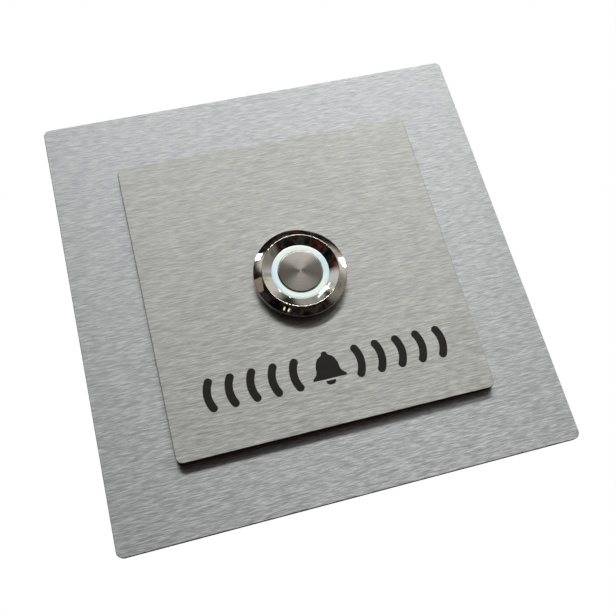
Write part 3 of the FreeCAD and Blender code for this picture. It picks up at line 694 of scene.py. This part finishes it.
def makeLamps():
    for name, towards, reach, width, height, roll, brightness, code in lamps:
        data = bpy.data.lights.new(name, "AREA")
        data.shape = "RECTANGLE"
        data.size, data.size_y = width, height
        data.energy = brightness * math.pi * width * height
        data.color = hexColour(code)[:3]
        lamp = bpy.data.objects.new(name, data)
        bpy.context.scene.collection.objects.link(lamp)
        away = Vector(towards).normalized()
        lamp.location = away * reach
        spin = Quaternion((0, 0, 1), math.radians(roll))
        lamp.rotation_euler = (away.to_track_quat("Z", "Y") @ spin).to_euler()


room = {
    "patchScale": 2.6, "patchDetail": 3.0, "patchRoughness": 0.55, "shelfScale": 5.0,
    "shelfDetail": 3.0, "shelfLow": 0.36, "shelfHigh": 0.52, "shelfLeast": 0.55,
    "rearStart": 0.2, "rearFull": 0.6, "rearWall": "#B9BABB",
}
things = [
    # what stands in the room, from the darkest patch to the lightest
    (0.36, "#080807"), (0.46, "#181613"), (0.53, "#38352F"), (0.58, "#120E0C"),
    (0.66, "#4A271F"), (0.76, "#6E5D50"),
]
glows = [
    # soft bright places in the room: direction, full and fading angle in degrees, colour
    ((0.80, -0.47, 0.37), 12, 32, "#DCD8D0"),
    ((-0.45, -0.55, 0.70), 8, 20, "#D8DCD8"),
    ((0.13, -0.42, 0.90), 9, 18, "#A0A39E"),
    ((0.82, -0.56, -0.15), 8, 27, "#8E8B85"),
]


def makeRoom():
    # White behind the object. Its reflections see a dim room with dark and reddish things in
    # it, and a light wall at the rear.
    world = bpy.data.worlds.new("studioRoom")
    bpy.context.scene.world = world
    world.use_nodes = True
    tree = world.node_tree
    tree.nodes.clear()
    place = addNode(tree, "ShaderNodeTexCoord")
    split = addNode(tree, "ShaderNodeSeparateXYZ", {"Vector": place.outputs["Generated"]})
    depth = addNode(tree, "ShaderNodeMapRange", {
        "Value": split.outputs["Y"], "From Min": room["rearStart"],
        "From Max": room["rearFull"]})
    patches = addNode(tree, "ShaderNodeTexNoise", {
        "Vector": place.outputs["Generated"], "Scale": room["patchScale"],
        "Detail": room["patchDetail"], "Roughness": room["patchRoughness"]})
    tone = addNode(tree, "ShaderNodeValToRGB", {"Fac": patches.outputs[0]}, stops=things)
    walls = addNode(tree, "ShaderNodeMix", {
        0: depth.outputs[0], 6: tone.outputs[0], 7: hexColour(room["rearWall"])},
        data_type="RGBA")
    shelves = addNode(tree, "ShaderNodeTexNoise", {
        "Vector": place.outputs["Generated"], "Scale": room["shelfScale"],
        "Detail": room["shelfDetail"]})
    clutter = addNode(tree, "ShaderNodeMapRange", {
        "Value": shelves.outputs[0], "From Min": room["shelfLow"],
        "From Max": room["shelfHigh"], "To Min": room["shelfLeast"]})
    for towards, full, fading, code in glows:
        nearness = addNode(tree, "ShaderNodeVectorMath", {
            0: place.outputs["Generated"], 1: Vector(towards).normalized()},
            operation="DOT_PRODUCT")
        patch = addNode(tree, "ShaderNodeMapRange", {
            "Value": nearness.outputs["Value"], "From Min": math.cos(math.radians(fading)),
            "From Max": math.cos(math.radians(full))}, interpolation_type="SMOOTHSTEP")
        broken = addNode(tree, "ShaderNodeMath", {
            0: patch.outputs[0], 1: clutter.outputs[0]}, operation="MULTIPLY")
        walls = addNode(tree, "ShaderNodeMix", {
            0: broken.outputs[0], 6: walls.outputs[2], 7: hexColour(code)}, data_type="RGBA")
    dim = addNode(tree, "ShaderNodeBackground", {"Color": walls.outputs[2], "Strength": 1.0})
    white = addNode(tree, "ShaderNodeBackground", {"Color": (1, 1, 1, 1), "Strength": 1.0})
    path = addNode(tree, "ShaderNodeLightPath")
    both = addNode(tree, "ShaderNodeMixShader", {
        0: path.outputs["Is Camera Ray"], 1: dim.outputs[0], 2: white.outputs[0]})
    addNode(tree, "ShaderNodeOutputWorld", {"Surface": both.outputs[0]})


camera = {
    "place": (-26.84, -164.3, -63.36), "ahead": (0.1561, 0.934, 0.3214),
    "right": (0.9642, -0.0734, -0.2548), "lens": 45.3, "sensor": 36.0, "shift": -0.0016,
    "nearest": 0.01, "farthest": 10.0,
}


def makeCamera():
    # Where the photo's camera stood, from a fit to the corners of both sheets.
    data = bpy.data.cameras.new("productCamera")
    data.lens, data.sensor_width = camera["lens"], camera["sensor"]
    data.shift_x = camera["shift"]
    data.clip_start, data.clip_end = camera["nearest"], camera["farthest"]
    view = bpy.data.objects.new("productCamera", data)
    bpy.context.scene.collection.objects.link(view)
    ahead = Vector(camera["ahead"]).normalized()
    right = Vector(camera["right"])
    right = (right - ahead * right.dot(ahead)).normalized()
    up = right.cross(ahead)
    turn = Matrix((right, up, -ahead)).transposed().to_4x4()
    view.matrix_world = Matrix.Translation(Vector(camera["place"]) * mm) @ turn
    bpy.context.scene.camera = view


makeFloor()
makeLamps()
makeRoom()
makeCamera()
bpy.context.scene.view_settings.view_transform = "Standard"
print("studio ready")
